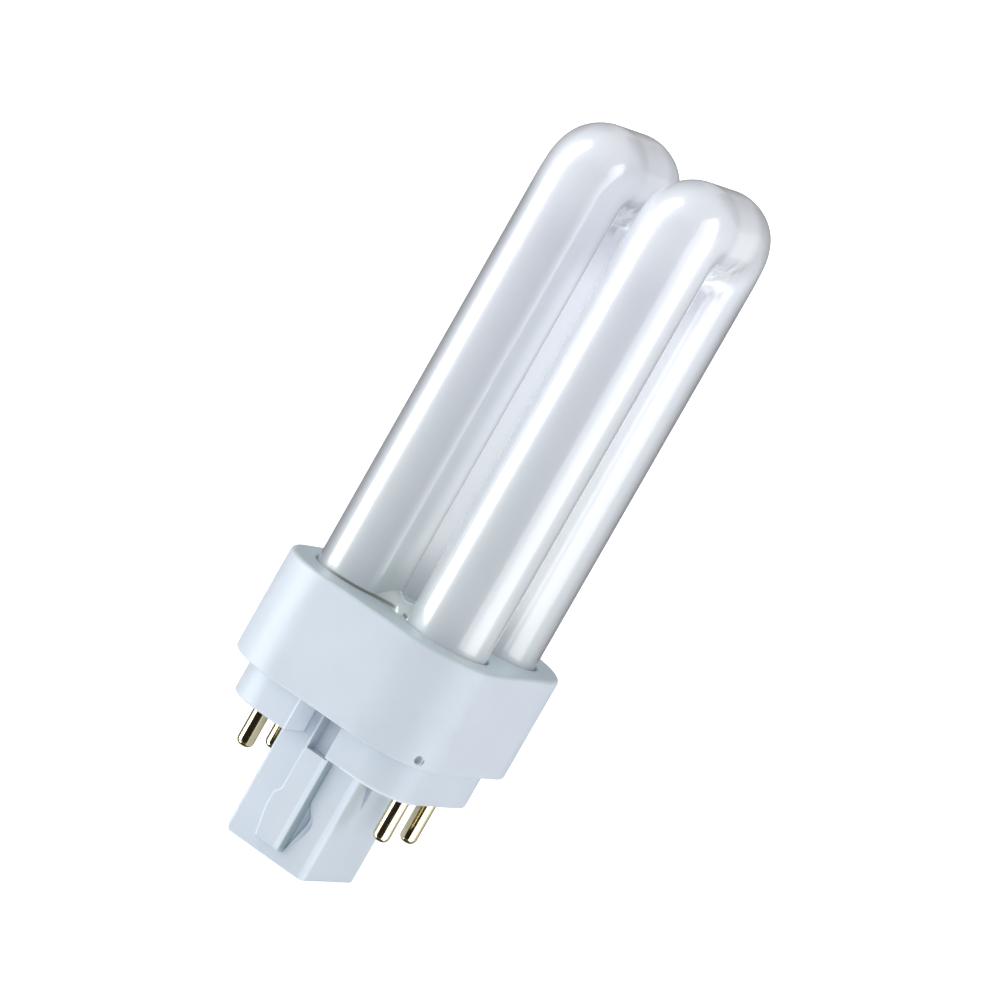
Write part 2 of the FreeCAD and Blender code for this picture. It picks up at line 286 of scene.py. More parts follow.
def add_rounded_block(bm, half_x, half_y, corner, z0, z1, segments=20, top=0.0, bottom=0.0):
    """An upright prism with rounded corners, and with its top and bottom rims rounded where asked."""
    verts = add_block(bm, -half_x, half_x, -half_y, half_y, z0, z1)
    upright = [e for e in edges_at(verts) if abs(e.verts[0].co.z - e.verts[1].co.z) > NEAR]
    bmesh.ops.bevel(
        bm,
        geom=upright,
        offset=corner,
        offset_type="OFFSET",
        segments=segments,
        profile=0.5,
        affect="EDGES",
        material=-1,
    )
    for z, width in ((z1, top), (z0, bottom)):
        if width > 0:
            rim = [e for e in bm.edges if all(abs(v.co.z - z) < NEAR for v in e.verts) and len(e.link_faces) == 2]
            bmesh.ops.bevel(
                bm,
                geom=rim,
                offset=width,
                offset_type="OFFSET",
                segments=4,
                profile=0.5,
                affect="EDGES",
                material=-1,
            )


def add_rod(bm, radius, start, end, segments=48, end_radius=None):
    """A round rod or cone between two points."""
    start, end = Vector(start), Vector(end)
    along = end - start
    turn = Vector((0, 0, 1)).rotation_difference(along.normalized()).to_matrix().to_4x4()
    matrix = Matrix.Translation((start + end) / 2) @ turn
    bmesh.ops.create_cone(
        bm,
        cap_ends=True,
        cap_tris=False,
        segments=segments,
        radius1=radius,
        radius2=radius if end_radius is None else end_radius,
        depth=along.length,
        matrix=matrix,
    )


def spin_profile(bm, points, centre, axis, steps):
    """A profile of (radius, height) points spun once round an axis through centre, with closed poles."""
    centre, axis = Vector(centre), Vector(axis).normalized()
    out = axis.orthogonal().normalized()
    verts = [bm.verts.new(centre + out * r + axis * h) for r, h in points]
    edges = [bm.edges.new(pair) for pair in zip(verts, verts[1:])]
    bmesh.ops.spin(
        bm,
        geom=verts + edges,
        cent=centre,
        axis=axis,
        angle=2 * math.pi,
        steps=steps,
        use_merge=True,
        use_duplicate=False,
    )


def close_up(bm):
    """Doubles merged and all faces turned outwards."""
    bmesh.ops.remove_doubles(bm, verts=bm.verts[:], dist=1e-7)
    bmesh.ops.dissolve_degenerate(bm, edges=bm.edges[:], dist=1e-8)
    bmesh.ops.recalc_face_normals(bm, faces=bm.faces[:])


def mesh_object(name, bm):
    mesh = bpy.data.meshes.new(name)
    bm.to_mesh(mesh)
    bm.free()
    piece = bpy.data.objects.new(name, mesh)
    bpy.context.scene.collection.objects.link(piece)
    return piece


def carve(piece, tools):
    """The tools are joined to or cut from the piece in turn, and are gone afterwards."""
    for operation, bm in tools:
        cutter = mesh_object("tool", bm)
        step = piece.modifiers.new(operation, "BOOLEAN")
        step.operation = operation
        step.solver = "EXACT"
        step.object = cutter
        bpy.context.view_layer.update()
        graph = bpy.context.evaluated_depsgraph_get()
        made = bpy.data.meshes.new_from_object(piece.evaluated_get(graph))
        piece.modifiers.remove(step)
        old = piece.data
        piece.data = made
        made.name = piece.name
        bpy.data.meshes.remove(old)
        tool_mesh = cutter.data
        bpy.data.objects.remove(cutter)
        bpy.data.meshes.remove(tool_mesh)


def smooth(piece, angle):
    """Smooth shading, with edges sharper than the angle kept crisp."""
    piece.data.polygons.foreach_set("use_smooth", [True] * len(piece.data.polygons))
    piece.data.set_sharp_from_angle(angle=math.radians(angle))


def round_edges(piece, width, angle=35):
    """Moulded edges: a small rounding whose flats stay flat."""
    bevel = piece.modifiers.new("Rounding", "BEVEL")
    bevel.width = width
    bevel.segments = 3
    bevel.limit_method = "ANGLE"
    bevel.angle_limit = math.radians(angle)
    bevel.harden_normals = False
    flats = piece.modifiers.new("Flats", "WEIGHTED_NORMAL")
    flats.keep_sharp = True
    flats.weight = 80


def settle(piece, slot, material, *nodes):
    """The piece takes its material, stands for its nodes and rides with the lamp; its slot is not used."""
    piece.data.materials.clear()
    piece.data.materials.append(material)
    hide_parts(*nodes)
    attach(piece, "root")


# material helpers


class Finish:
    """A material with its nodes, and short ways to add to them."""

    def __init__(self, name):
        self.material = bpy.data.materials.new(name)
        self.material.use_nodes = True
        self.tree = self.material.node_tree
        self.shader = self.tree.nodes["Principled BSDF"]
        self.output = self.tree.nodes["Material Output"]
        self.place = self.add("ShaderNodeTexCoord").outputs["Object"]

    def add(self, kind, **values):
        node = self.tree.nodes.new(kind)
        for key, value in values.items():
            setattr(node, key, value)
        return node

    def link(self, source, target):
        self.tree.links.new(source, target)

    def set(self, **values):
        for key, value in values.items():
            self.shader.inputs[key.replace("_", " ")].default_value = value

    def mapped(self, scale=(1, 1, 1)):
        node = self.add("ShaderNodeMapping")
        node.inputs["Scale"].default_value = scale
        self.link(self.place, node.inputs["Vector"])
        return node.outputs["Vector"]

    def grain(self, scale, detail=3.0, rough=0.5, stretch=(1, 1, 1)):
        node = self.add("ShaderNodeTexNoise")
        node.inputs["Scale"].default_value = scale
        node.inputs["Detail"].default_value = detail
        node.inputs["Roughness"].default_value = rough
        self.link(self.mapped(stretch), node.inputs["Vector"])
        return node.outputs["Fac"]

    def span(self, value, low, high, to_low=0.0, to_high=1.0, kind="SMOOTHSTEP"):
        node = self.add("ShaderNodeMapRange", interpolation_type=kind)
        node.inputs["From Min"].default_value = low
        node.inputs["From Max"].default_value = high
        node.inputs["To Min"].default_value = to_low
        node.inputs["To Max"].default_value = to_high
        self.link(value, node.inputs["Value"])
        return node.outputs["Result"]

    def blend(self, factor, first, second, kind="MIX"):
        """Mix of two colours, each a socket or a fixed colour."""
        node = self.add("ShaderNodeMix", data_type="RGBA", blend_type=kind)
        if isinstance(factor, float):
            node.inputs[0].default_value = factor
        else:
            self.link(factor, node.inputs[0])
        for slot, value in ((6, first), (7, second)):
            if isinstance(value, bpy.types.NodeSocket):
                self.link(value, node.inputs[slot])
            else:
                node.inputs[slot].default_value = (*value, 1.0)
        return node.outputs[2]

    def height(self):
        node = self.add("ShaderNodeSeparateXYZ")
        self.link(self.mapped(), node.inputs["Vector"])
        return node.outputs["Z"]

    def within(self, limits):
        """One where every coordinate lies past its soft limits: (axis, low, high, 1 above or -1 below)."""
        parts = self.add("ShaderNodeSeparateXYZ")
        self.link(self.mapped(), parts.inputs["Vector"])
        factor = None
        for axis, low, high, way in limits:
            ends = (0.0, 1.0) if way > 0 else (1.0, 0.0)
            step = self.span(parts.outputs[axis], low, high, *ends)
            factor = step if factor is None else self.product(factor, step)
        return factor

    def paired(self, operation, first, second):
        node = self.add("ShaderNodeMath", operation=operation)
        self.link(first, node.inputs[0])
        self.link(second, node.inputs[1])
        return node.outputs[0]

    def product(self, first, second):
        return self.paired("MULTIPLY", first, second)

    def larger(self, first, second):
        return self.paired("MAXIMUM", first, second)

    def off_middle(self):
        """Distance from the nearer of the two upright planes that part the four legs, the one at x = 0 counted less."""
        parts = self.add("ShaderNodeSeparateXYZ")
        self.link(self.mapped((1.9, 1, 1)), parts.inputs["Vector"])
        least = self.add("ShaderNodeMath", operation="MINIMUM")
        for slot, axis in enumerate(("X", "Y")):
            size = self.add("ShaderNodeMath", operation="ABSOLUTE")
            self.link(parts.outputs[axis], size.inputs[0])
            self.link(size.outputs[0], least.inputs[slot])
        return least.outputs[0]

    def bump(self, value, strength, distance):
        node = self.add("ShaderNodeBump")
        node.inputs["Strength"].default_value = strength
        node.inputs["Distance"].default_value = distance
        self.link(value, node.inputs["Height"])
        return node.outputs["Normal"]


def shaded(base, factors):
    """A colour darkened by one factor, or by a factor for each channel."""
    if isinstance(factors, float):
        factors = (factors,) * 3
    return tuple(c * factor for c, factor in zip(base, factors))


def glass_finish(s):
    """White coating under clear glass: sharp gloss, a painted grey rim for the glass wall seen edge-on and the dark
    surroundings it mirrors, clouding, a darker foot, painted shade on the tubes' faces, the bridge and the creases, and
    a painted glow between the legs and over the bends.
    """
    f = Finish("coated_glass")
    height = f.height()
    up_the_legs = f.span(height, 0.034, 0.095)
    above_deck = f.span(height, 0.037, 0.046, 0.15, 1.0)
    below_bends = f.span(height, 0.082, 0.090, 1.0, 0.35)
    face_fades = f.span(height, 0.086, 0.096, 1.0, 0.25)
    rim_fades = f.span(height, 0.0875, 0.097, 1.0, 0.45)

    body = f.blend(up_the_legs, s.foot_tint, s.glass)
    cloud = f.span(f.grain(95.0, 4.0, 0.6, (1, 1, 0.45)), 0.30, 0.72, kind="LINEAR")
    body = f.blend(cloud, f.blend(0.35, body, shaded(s.glass, 0.955)), body)
    weight = f.add("ShaderNodeLayerWeight")
    weight.inputs["Blend"].default_value = 0.5
    facing = weight.outputs["Facing"]
    # Painted shade where the tubes face the view, for the dark front they mirror; it fades out on the bends
    middle = f.product(f.span(facing, 0.0, 0.17, 1.0, 0.0), face_fades)
    body = f.blend(middle, body, PAINTED_FACE_SHADE, "MULTIPLY")
    # Painted greenish shade on the bridge between the front legs, down by the deck
    body = f.blend(f.within(BRIDGE), body, PAINTED_BRIDGE_SHADE, "MULTIPLY")
    # Painted shade in dark strokes on the pressed creases under the bends
    crease_shade_strokes = f.span(f.grain(640.0, 1.0, 0.5, (1, 1.2, 0.5)), 0.53, 0.62)
    body = f.blend(f.product(f.within(UNDER_BENDS), crease_shade_strokes), body, PAINTED_CREASE_SHADE, "MULTIPLY")
    # Painted dark rim where the glass is seen edge-on, for its clear wall and the dark surroundings it mirrors there;
    # it is painted darker on the left side and on the right rear leg
    outer = f.product(f.larger(f.within(LEFT_SIDE), f.within(RIGHT_REAR)), rim_fades)
    rim = f.product(f.span(facing, 0.24, 0.68), f.span(outer, 0.0, 1.0, 0.25, 1.0, "LINEAR"))
    body = f.blend(rim, body, s.rim_shade)
    for seam in (LEFT_SEAM, RIGHT_SEAM):
        body = f.blend(f.within(seam), body, s.seam)
    f.link(body, f.shader.inputs["Base Color"])

    # Painted glow: light painted between the legs, from above the deck to below the bends, for light through the
    # coating, and a little over all the glass, more on the bends' tops
    between = f.span(f.off_middle(), 0.0024, 0.0046, s.through_inner, 0.0)
    between = f.product(between, f.product(above_deck, below_bends))
    outside = f.span(height, 0.086, 0.100, s.through_outer, s.through_outer + 0.09)
    f.link(f.paired("ADD", between, outside), f.shader.inputs["Emission Strength"])
    ripple = f.bump(f.grain(55.0, 2.0, 0.5, (1, 1, 0.3)), 0.10, 0.0006)
    f.link(ripple, f.shader.inputs["Coat Normal"])
    f.set(Roughness=0.30, IOR=1.45, Coat_Weight=1.0, Coat_Roughness=0.035, Coat_IOR=1.5)
    f.set(Emission_Color=GLASS_GLOW)
    return f.material


def plastic_finish(s):
    """Moulded plastic with a satin gloss, a fine orange peel and faint clouding, with painted shade beside the key and
    on the deck, and a painted glow on the notch wall, the latch pocket and two edges.
    """
    f = Finish("moulded_plastic")
    cloud = f.span(f.grain(140.0, 4.0, 0.6), 0.32, 0.70, kind="LINEAR")
    body = f.blend(cloud, shaded(s.plastic, 0.96), s.plastic)
    # Painted shade on the key rib's right side, beside the latch pocket
    body = f.blend(f.within(BESIDE_KEY), body, shaded(s.plastic, PAINTED_KEY_SHADE))
    # Painted glow: the notch wall and the latch pocket lifted out of their shade, and painted highlights along the
    # post's edge and the key's right edge
    lit = None
    for place, glow in PAINTED_GLOW_PLACES:
        step = f.span(f.within(place), 0.0, 1.0, 0.0, glow, "LINEAR")
        lit = step if lit is None else f.larger(lit, step)
    f.link(lit, f.shader.inputs["Emission Strength"])
    f.set(Emission_Color=PLASTIC_GLOW)
    # Painted shade on the collar's deck, the top that less light reaches
    at_deck = f.span(f.height(), 0.0360, 0.0364)
    f.link(f.blend(at_deck, body, shaded(s.plastic, PAINTED_DECK_SHADE)), f.shader.inputs["Base Color"])
    patchy = f.span(f.grain(260.0, 3.0, 0.5), 0.3, 0.7, 0.33, 0.43)
    f.link(patchy, f.shader.inputs["Roughness"])
    f.link(f.bump(f.grain(900.0, 2.0, 0.5), 0.06, 0.0002), f.shader.inputs["Normal"])
    f.set(IOR=1.5, Specular_IOR_Level=0.24, Coat_Weight=0.03, Coat_Roughness=0.18)
    return f.material


def brass_finish(s):
    """Polished brass with faint lengthwise wear."""
    f = Finish("pin_brass")
    streak = f.span(f.grain(900.0, 3.0, 0.6, (1, 1, 0.12)), 0.35, 0.75, kind="LINEAR")
    f.link(f.blend(streak, s.brass, shaded(s.brass, 0.80)), f.shader.inputs["Base Color"])
    f.link(f.span(f.grain(1500.0, 2.0, 0.5, (1, 1, 0.2)), 0.3, 0.7, 0.10, 0.20), f.shader.inputs["Roughness"])
    f.set(Metallic=1.0)
    return f.material


def cement_finish(s):
    """Dull basing cement with fine grains."""
    f = Finish("cement")
    grains = f.span(f.grain(1800.0, 6.0, 0.7), 0.35, 0.65, kind="LINEAR")
    f.link(f.blend(grains, shaded(s.cement, 0.72), s.cement), f.shader.inputs["Base Color"])
    f.link(f.bump(f.grain(1400.0, 4.0, 0.6), 0.4, 0.0003), f.shader.inputs["Normal"])
    f.set(Roughness=0.9)
    return f.material


def wire_finish(s):
    """Tinned wire, slightly dulled along its length."""
    f = Finish("lead_metal")
    dull = f.span(f.grain(1200.0, 3.0, 0.5), 0.3, 0.7, kind="LINEAR")
    f.link(f.blend(dull, shaded(s.tin, 0.8), s.tin), f.shader.inputs["Base Color"])
    f.link(f.span(f.grain(2000.0, 2.0, 0.5), 0.3, 0.7, 0.22, 0.38), f.shader.inputs["Roughness"])
    f.set(Metallic=1.0)
    return f.material


def dress_node(name, material):
    """A CAD node keeps its shape and takes a new material."""
    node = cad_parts[name]
    if not node.material_slots:
        node.data.materials.append(material)
    for place in node.material_slots:
        place.material = material


# glass

LEG_RINGS = (0.036, 0.045, 0.060, 0.073)
BEND_RINGS = 44
FOOT_ROUND = 0.0012


def hairpin(share, straight, corner, across, y, z):
    """Point at a share of a quarter hairpin: up a straight, round a corner, and in towards y = 0."""
    turn = corner * math.pi / 2
    gone = share * (straight + turn + across)
    if gone <= straight:
        return Vector((0, y, z + gone))
    gone -= straight
    if gone <= turn:
        angle = gone / corner
        return Vector((0, y - corner + corner * math.cos(angle), z + straight + corner * math.sin(angle)))
    return Vector((0, y - corner - (gone - turn), z + straight + corner))


def add_u_tube(bm, s, x):
    """One U: a leg's ring is run up and over to y = 0, its section closing round the crotch, then mirrored."""
    pitch = s.radius + s.gap / 2
    outer_corner = s.radius + s.bend_radius
    axis_y = pitch - s.bend_radius
    axis_z = s.height - outer_corner
    rise = axis_z - s.bend_start
    crotch_rise = s.height - 2 * s.radius - s.gap / 2 - s.bend_start
    around = bm.verts.layers.float.get("around") or bm.verts.layers.float.new("around")
    ring = bmesh.ops.create_circle(bm, cap_ends=False, segments=s.around, radius=s.radius)["verts"]
    for v in ring:
        v[around] = math.atan2(v.co.x, v.co.y)
    bmesh.ops.translate(bm, vec=(x, pitch, s.foot + FOOT_ROUND), verts=ring)
    made = list(ring)
    first_edges = edges_at(ring)
    edges = first_edges

    def grow(edges):
        verts, edges = grown_parts(bmesh.ops.extrude_edge_only(bm, edges=edges)["geom"])
        made.extend(verts)
        return verts, edges

    for z in (*LEG_RINGS, s.bend_start):
        verts, edges = grow(edges)
        for v in verts:
            v.co.z = z
    for i in range(1, BEND_RINGS + 1):
        share = i / BEND_RINGS
        outer = hairpin(share, rise, outer_corner, axis_y, pitch + s.radius, s.bend_start)
        centre = hairpin(share, rise, s.bend_radius, axis_y, pitch, s.bend_start)
        inner = hairpin(share, crotch_rise, s.gap / 2, 0.0, s.gap / 2, s.bend_start)
        half = (outer - inner) / 2
        off = (outer + inner) / 2 - centre
        verts, edges = grow(edges)
        for v in verts:
            c = math.cos(v[around])
            v.co = centre + half * c + off * c * c + Vector((x + s.radius * math.sin(v[around]), 0, 0))
    verts, edges = grow(first_edges)
    narrow = (s.radius - FOOT_ROUND) / s.radius
    for v in verts:
        v.co = Vector((x + (v.co.x - x) * narrow, pitch + (v.co.y - pitch) * narrow, s.foot))
    bmesh.ops.edgeloop_fill(bm, edges=edges)
    half_geom = once(made) + edges_at(made) + once(f for v in made for f in v.link_faces)
    bmesh.ops.mirror(bm, geom=half_geom, axis="Y", merge_dist=NEAR)


def crease_bends(bm, s, centres):
    """Small pressed creases where the legs meet under each bend."""
    bm.normal_update()
    level = s.height - 2 * s.radius + 0.0004
    reach = 0.0042
    across, along, up = 330, 620, 520  # waves for each metre
    moves = []
    for v in bm.verts:
        x = min((v.co.x - c for c in centres), key=abs)
        away = Vector((0, v.co.y, v.co.z - level)).length
        near = max(0.0, 1.0 - away / reach)
        if near <= 0.0:
            continue
        other = 7.7 if v.co.x > 0 else 0.0  # the two tubes' creases differ
        wave = noise.noise(Vector((x * across, v.co.y * along + 3.1, v.co.z * up + other)))
        fold = math.sin(v.co.z * 3900 + abs(v.co.y) * 900)
        moves.append((v, v.normal * s.crease * near * near * (3 - 2 * near) * (0.9 * wave + 0.25 * fold)))
    for v, move in moves:
        v.co += move


class LAMP_OT_glass_tubes(bpy.types.Operator):
    """Build the two coated glass tubes with their bridge and pinches"""

    bl_idname = "lamp.glass_tubes"
    bl_label = "Glass tubes"

    def execute(self, context):
        s = context.scene.lamp_tubes
        pitch = s.radius + s.gap / 2
        bm = bmesh.new()
        for side in (-1, 1):
            add_u_tube(bm, s, side * pitch)
        close_up(bm)
        crease_bends(bm, s, (-pitch, pitch))
        reach = s.gap / 2
        inside, sunk, flared = 0.0035, 0.0022, 0.0012  # the bridge's ends lie hidden in the legs
        steps = 24
        profile = [(0.0, -reach - inside)]
        for i in range(steps + 1):
            t = -1.0 + 2.0 * i / steps
            along = t * (reach + sunk)
            bulge = min(1.0, abs(along) / (reach + flared))
            profile.append((s.bridge_waist + (s.bridge_flare - s.bridge_waist) * bulge**1.8, along))
        profile.append((0.0, reach + inside))
        spin_profile(bm, profile, (0, -pitch, s.bridge_height), (1, 0, 0), 48)
        for side in (-1, 1):
            x = side * pitch
            wide, thick = 0.0045, 0.0015
            pinch = add_block(bm, x - wide, x + wide, pitch - thick, pitch + thick, 0.024, 0.0292)
            bmesh.ops.bevel(
                bm, geom=edges_at(pinch), offset=0.0004, segments=2, profile=0.5, affect="EDGES", material=-1
            )
        close_up(bm)
        piece = mesh_object("glass_tubes", bm)
        smooth(piece, 50)
        settle(piece, "coated_glass", glass_finish(s), "glass_burner")
        return {"FINISHED"}


# cap

# Outlines on the post's face: out from the key rib's edge, and height
KEY_WEDGE = ((0.0, 0.0091), (0.00075, 0.0081), (0.00075, 0.0059))
LATCH_LEAF = ((0.0, 0.0091), (0.0011, 0.0081), (0.00175, 0.0069), (0.00175, 0.0059), (0.0011, 0.0042), (0.0, 0.0022))
LATCH_FLOOR = (0.0069, 0.0059)
KEY_MIDDLE = 0.0003
KEY_HALF = 0.00195
KEY_PROUD = 0.0019
KEY_FOOT = 0.0018
SEAT_ROOM = 0.00035
PLUG_FLOOR = 0.0018
PLUG_WALL = 0.0012
FLANGE = 0.0016
WINDOW_HALF = 0.0034
PIN_HOLE = 0.0013


def tool_block(*args, **kwargs):
    bm = bmesh.new()
    add_block(bm, *args, **kwargs)
    return bm


def tool_rounded(*args, **kwargs):
    bm = bmesh.new()
    add_rounded_block(bm, *args, **kwargs)
    return bm


def tool_rod(*args, **kwargs):
    bm = bmesh.new()
    add_rod(bm, *args, **kwargs)
    return bm


class LAMP_OT_collar(bpy.types.Operator):
    """Build the collar, the cup-shaped upper part of the cap"""

    bl_idname = "lamp.collar"
    bl_label = "Collar"

    def execute(self, context):
        c = context.scene.lamp_cap
        t = context.scene.lamp_tubes
        pitch = t.radius + t.gap / 2
        bm = bmesh.new()
        add_rounded_block(bm, c.collar_x, c.collar_y, c.collar_corner, c.collar_bottom, c.collar_top, top=c.rim_round)
        close_up(bm)
        piece = mesh_object("collar_shell", bm)
        under = c.collar_bottom - PAST
        over, hollow = c.collar_top + 2 * PAST, c.collar_top - 0.004

        def plan(inset):
            return c.collar_x - inset, c.collar_y - inset, c.collar_corner - inset

        tools = [tool_rounded(*plan(c.collar_wall), under, c.collar_top - c.deck)]
        tools.append(tool_rounded(*plan(c.seat_wall), under, c.collar_bottom + FLANGE))
        for sx, sy in CORNERS:
            x, y = sx * pitch, sy * pitch
            tools.append(tool_rod(t.radius + SEAT_ROOM, (x, y, hollow), (x, y, over), 96))
        slot = 0.0038
        reach = pitch - t.radius * 0.6
        tools.append(tool_block(-reach, reach, -pitch - slot, -pitch + slot, hollow, over))
        stake_angle = math.radians(31.0)
        for sx, sy in CORNERS:
            out = Vector((sx * math.cos(stake_angle), sy * math.sin(stake_angle), 0))
            x, y = sx * (c.collar_x - c.collar_corner), sy * (c.collar_y - c.collar_corner)
            middle = Vector((x, y, c.collar_bottom + 0.0011))
            start, end = middle + out * (c.collar_corner - 0.0009), middle + out * (c.collar_corner + 0.0003)
            tools.append(tool_rod(0.00048, start, end, 24, 0.0006))
        tools = [("DIFFERENCE", tool) for tool in tools]
        carve(piece, tools)
        smooth(piece, 32)
        round_edges(piece, c.edge_round)
        settle(piece, "cap_plastic", lamp_plastic(c), "collar")
        return {"FINISHED"}


def lamp_plastic(c):
    return bpy.data.materials.get("moulded_plastic") or plastic_finish(c)


def tool_drawn(corners, move):
    """A polygon drawn out along a straight line."""
    bm = bmesh.new()
    face = bm.faces.new([bm.verts.new(corner) for corner in corners])
    grown = bmesh.ops.extrude_face_region(bm, geom=[face])["geom"]
    bmesh.ops.translate(bm, vec=move, verts=[g for g in grown if isinstance(g, bmesh.types.BMVert)])
    bmesh.ops.recalc_face_normals(bm, faces=bm.faces[:])
    return bm


def tool_key(left, right, face, top):
    """The key rib, wider on its left where the latch pocket lies on its right."""
    points = [(left, top)] + [(left - out, z) for out, z in KEY_WEDGE]
    points += [(left, KEY_FOOT), (right, KEY_FOOT), (right, top)]
    bm = tool_drawn([(x, face, z) for x, z in points], (0, 0.0021, 0))
    front = [e for e in bm.edges if all(abs(v.co.y - face) < 1e-7 for v in e.verts)]
    front = [e for e in front if any(v.co.z < top - NEAR for v in e.verts)]
    bmesh.ops.bevel(
        bm,
        geom=front,
        offset=0.00045,
        offset_type="OFFSET",
        segments=4,
        profile=0.5,
        affect="EDGES",
        material=-1,
    )
    bmesh.ops.recalc_face_normals(bm, faces=bm.faces[:])
    return bm


def tool_latch(x, front):
    """The latch pocket: deep beside the key, rising to a leaf-shaped outline in the post's face."""
    depth = 0.0024
    beyond = 0.12  # the share by which the tool reaches past the post's face
    high, low = LATCH_FLOOR
    bm = bmesh.new()
    for z in LATCH_FLOOR:
        bm.verts.new((x, front + depth, z))
    for out, z in LATCH_LEAF:
        near = high if z >= high else low
        bm.verts.new((x + out * (1 + beyond), front - depth * beyond, near + (z - near) * (1 + beyond)))
    bmesh.ops.convex_hull(bm, input=bm.verts[:])
    bmesh.ops.recalc_face_normals(bm, faces=bm.faces[:])
    return bm


def tool_relief(x, bottom):
    """A groove in the post's right face that deepens towards the base."""
    outside, inside = x + 0.0001, x - 0.0008
    foot, slant, end = 0.010425, bottom - 0.0024, bottom + 0.0002
    points = [(outside, foot), (outside, end), (inside, end), (inside, slant)]
    return tool_drawn([(px, -0.0049, pz) for px, pz in points], (0, 0.0029, 0))


def tool_foot_chamfer(px, py):
    """The slant on the left of the post's foot."""
    outside, wide, high = -px - 0.0001, 0.0007, 0.00137
    ends = [(outside, 0.0), (-px + wide, 0.0), (outside, high)]
    corners = [(x, -py - PAST, z - 0.0001) for x, z in ends]
    return tool_drawn(corners, (0, 2 * py + 2 * PAST, 0))


class LAMP_OT_cap_base(bpy.types.Operator):
    """Build the base: plug, flange, centre post, key rib, key hole and latch pocket"""

    bl_idname = "lamp.cap_base"
    bl_label = "Cap base"

    def execute(self, context):
        c = context.scene.lamp_cap
        p = context.scene.lamp_pins
        px, py = c.post_x, c.post_y
        top, bottom = c.collar_bottom, c.plug_bottom
        over = top + 2 * PAST
        room_x, room_y, room_corner = c.plug_x - PLUG_WALL, c.plug_y - 0.0018, c.plug_corner - PLUG_WALL
        flange_x, flange_y = c.collar_x - c.seat_wall - 0.00003, c.collar_y - c.seat_wall - 0.00003
        key_left, key_right = KEY_MIDDLE - KEY_HALF, KEY_MIDDLE + KEY_HALF
        face = -py - KEY_PROUD
        frame_half, front = 0.0046, -c.plug_y
        hole = (-py - 0.003, face + 0.0022)
        bm = bmesh.new()
        add_rounded_block(bm, c.plug_x, c.plug_y, c.plug_corner, bottom, top + 0.0008, bottom=0.0004)
        close_up(bm)
        piece = mesh_object("keyed_base", bm)
        tools = [
            ("DIFFERENCE", tool_rounded(room_x, room_y, room_corner, bottom + PLUG_FLOOR, over)),
            ("UNION", tool_block(-frame_half, frame_half, front + 0.0009, -py + 0.0006, bottom + 0.0005, top + 0.0006)),
            ("DIFFERENCE", tool_block(-WINDOW_HALF, WINDOW_HALF, front - PAST, -py + 0.0004, bottom - PAST, over)),
            ("UNION", tool_rounded(flange_x, flange_y, c.collar_corner - c.seat_wall, top, top + FLANGE)),
            ("DIFFERENCE", tool_rounded(room_x - 0.0009, room_y - 0.0004, room_corner, top - 0.0003, top + 3 * PAST)),
            ("UNION", tool_rounded(px, py, c.post_corner, 0.0, top + 0.0004, segments=6, bottom=0.00035)),
            ("DIFFERENCE", tool_block(-px + 0.0016, px - 0.0016, -py + 0.0051, py - 0.0016, 0.0016, top + PAST)),
            ("UNION", tool_key(key_left, key_right, face, top - 0.0002)),
            ("DIFFERENCE", tool_block(key_left + 0.0005, key_right - 0.0002, *hole, 0.0152, 0.0200)),
            ("DIFFERENCE", tool_latch(key_right, -py)),
            ("DIFFERENCE", tool_relief(px, bottom)),
            ("DIFFERENCE", tool_foot_chamfer(px, py)),
        ]
        for sx, sy in CORNERS:
            x, y = sx * p.pitch_x / 2, sy * p.pitch_y / 2
            tools.append(("DIFFERENCE", tool_rod(PIN_HOLE, (x, y, bottom - PAST), (x, y, bottom + 3 * PAST), 48)))
        carve(piece, tools)
        smooth(piece, 32)
        round_edges(piece, c.base_round)
        settle(piece, "cap_plastic", lamp_plastic(c), "cap_base")
        return {"FINISHED"}


class LAMP_OT_contact_pins(bpy.types.Operator):
    """Build the four brass contact pins"""

    bl_idname = "lamp.contact_pins"
    bl_label = "Contact pins"

    def execute(self, context):
        s = context.scene.lamp_pins
        c = context.scene.lamp_cap
        brass = brass_finish(s)
        tip = c.plug_bottom - s.length
        floor = c.plug_bottom + PLUG_FLOOR
        flat = s.radius - s.tip_round
        steps = 8
        profile = [(0.0, tip)]
        for i in range(steps + 1):
            angle = math.pi / 2 * i / steps
            profile.append((flat + s.tip_round * math.sin(angle), tip + s.tip_round * (1 - math.cos(angle))))
        head, head_top = 0.0016, floor + 0.0008
        tail, tail_top = 0.0008, floor + 0.002
        profile += [(s.radius, c.plug_bottom - 0.0001), (s.radius, c.plug_bottom), (PIN_HOLE, c.plug_bottom)]
        profile += [(PIN_HOLE, floor), (head, floor), (head, head_top), (tail, head_top)]
        profile += [(tail, tail_top), (0.0, tail_top)]
        for side, sx in SIDES:
            for row, sy in ROWS:
                bm = bmesh.new()
                centre = (sx * s.pitch_x / 2, sy * s.pitch_y / 2, 0)
                spin_profile(bm, profile, centre, (0, 0, 1), 40)
                close_up(bm)
                piece = mesh_object(f"contact_pin_{side}_{row}", bm)
                smooth(piece, 40)
                settle(piece, "pin_brass", brass, f"pin_{side}_{row}")
        return {"FINISHED"}


class LAMP_OT_inside(bpy.types.Operator):
    """Give the basing cement and the lead wires their materials"""

    bl_idname = "lamp.inside"
    bl_label = "Cement and wires"

    def execute(self, context):
        dress_node("basing_cement", cement_finish(context.scene.lamp_cap))
        wire = wire_finish(context.scene.lamp_pins)
        for side, _ in SIDES:
            for row, _ in ROWS:
                dress_node(f"lead_{side}_{row}", wire)
        return {"FINISHED"}


# studio


